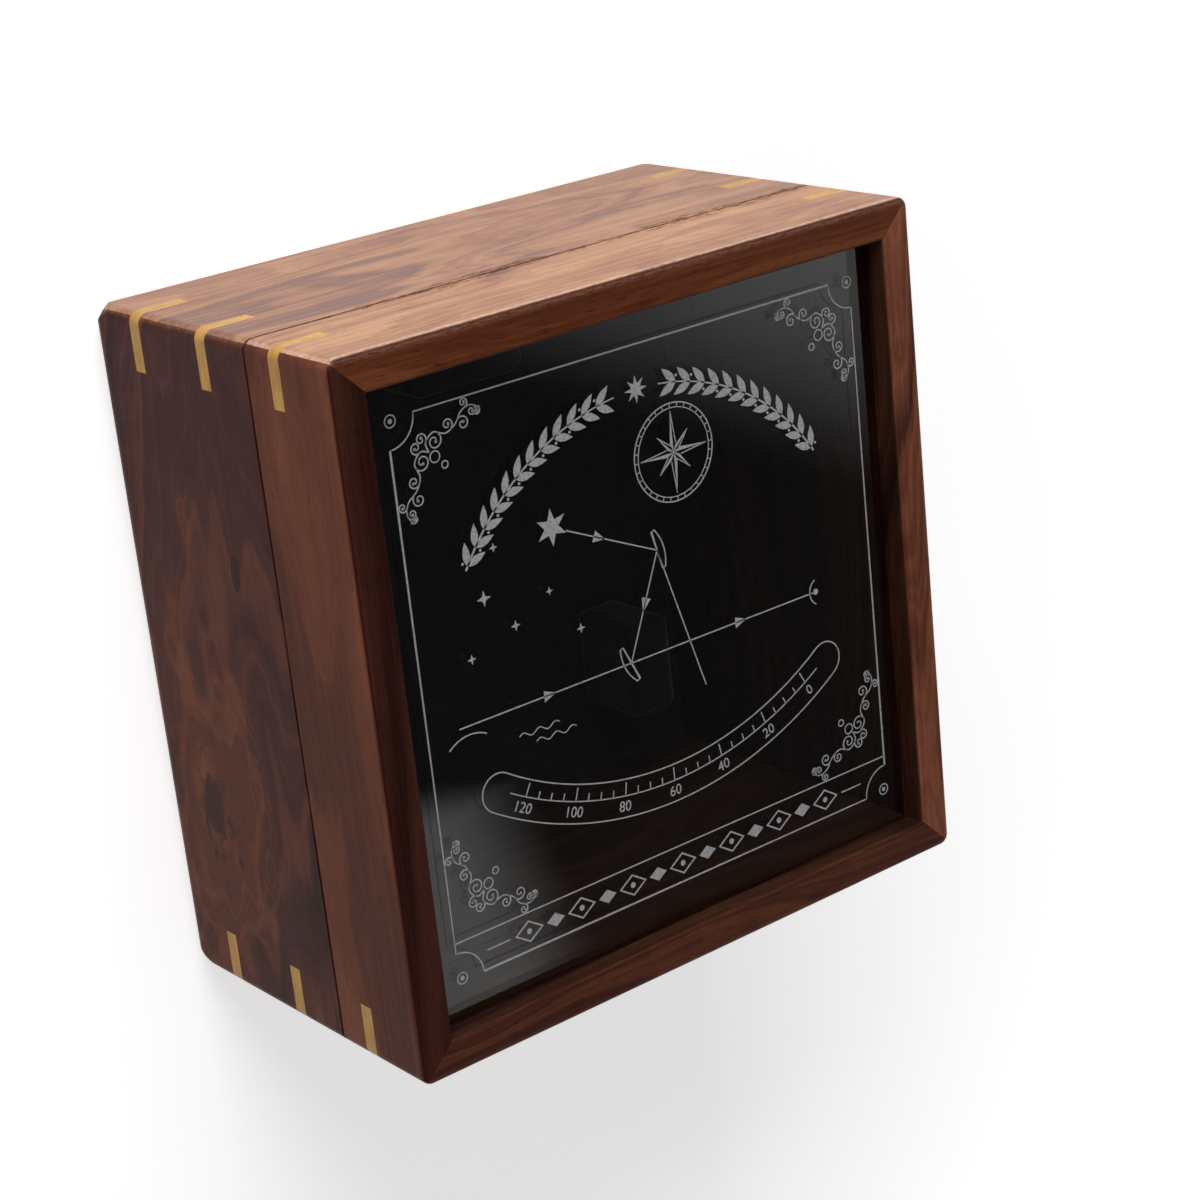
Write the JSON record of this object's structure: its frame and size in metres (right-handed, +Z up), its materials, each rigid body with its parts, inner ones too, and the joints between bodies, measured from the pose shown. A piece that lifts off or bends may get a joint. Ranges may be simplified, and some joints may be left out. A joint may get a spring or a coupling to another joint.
{
  "type": "sextant box",
  "caption": "Square rosewood instrument box with pale corner keys, a hinged glazed lid, concealed hinges and a brass swing hook.",
  "frame": {"origin": "middle of the underside of the wooden box, on the surface it stands on", "axes": "+Z up through the lid, -Y towards the latch side, +Y towards the hinge side, +X to the right when the latch side is faced"},
  "size_m": [0.163, 0.1696, 0.098],
  "materials": {
    "rosewood": "satin oil",
    "key_wood": "satin oil",
    "plywood": "bare",
    "glass": "clear polished",
    "velvet": "short pile",
    "brass": "satin lacquered"
  },
  "bodies": {
    "base": {"base_front_wall": "rosewood", "base_back_wall": "rosewood", "base_left_wall": "rosewood", "base_right_wall": "rosewood", "base_keys": "key_wood", "bottom_panel": "plywood", "floor_lining": "velvet", "cradle_end": "velvet", "cradle_left": "velvet", "cradle_right": "velvet", "hinge_left_base_cup": "brass", "hinge_right_base_cup": "brass", "hinge_base_screws": "brass", "latch_plate": "brass", "latch_plate_pins": "brass", "latch_rivet": "brass"},
    "lid": {"lid_front_rail": "rosewood", "lid_back_rail": "rosewood", "lid_left_rail": "rosewood", "lid_right_rail": "rosewood", "lid_keys": "key_wood", "glass_pane": "glass", "hinge_left_lid_cup": "brass", "hinge_right_lid_cup": "brass", "hinge_lid_screws": "brass", "catch_plate": "brass", "catch_plate_pins": "brass", "catch_stud": "brass"},
    "links": {"hinge_left_link": "brass", "hinge_right_link": "brass"},
    "hook": {"latch_hook": "brass"}
  },
  "joints": [
    {"name": "lid_hinge", "type": "hinge", "parent": "base", "child": "lid", "pos_m": [0, 0.0825, 0.06625], "axis": [-1, 0, 0], "range_deg": [0, 95]},
    {"name": "hinge_links_turn", "type": "hinge", "parent": "base", "child": "links", "pos_m": [0, 0.0825, 0.06625], "axis": [-1, 0, 0], "range_deg": [0, 47.5]},
    {"name": "latch_pivot", "type": "hinge", "parent": "base", "child": "hook", "pos_m": [0, -0.0851, 0.0561], "axis": [0, -1, 0], "range_deg": [-130, 180]}
  ],
  "couplings": [
    {"joint": "hinge_links_turn", "follows": "lid_hinge", "ratio": 0.5}
  ]
}
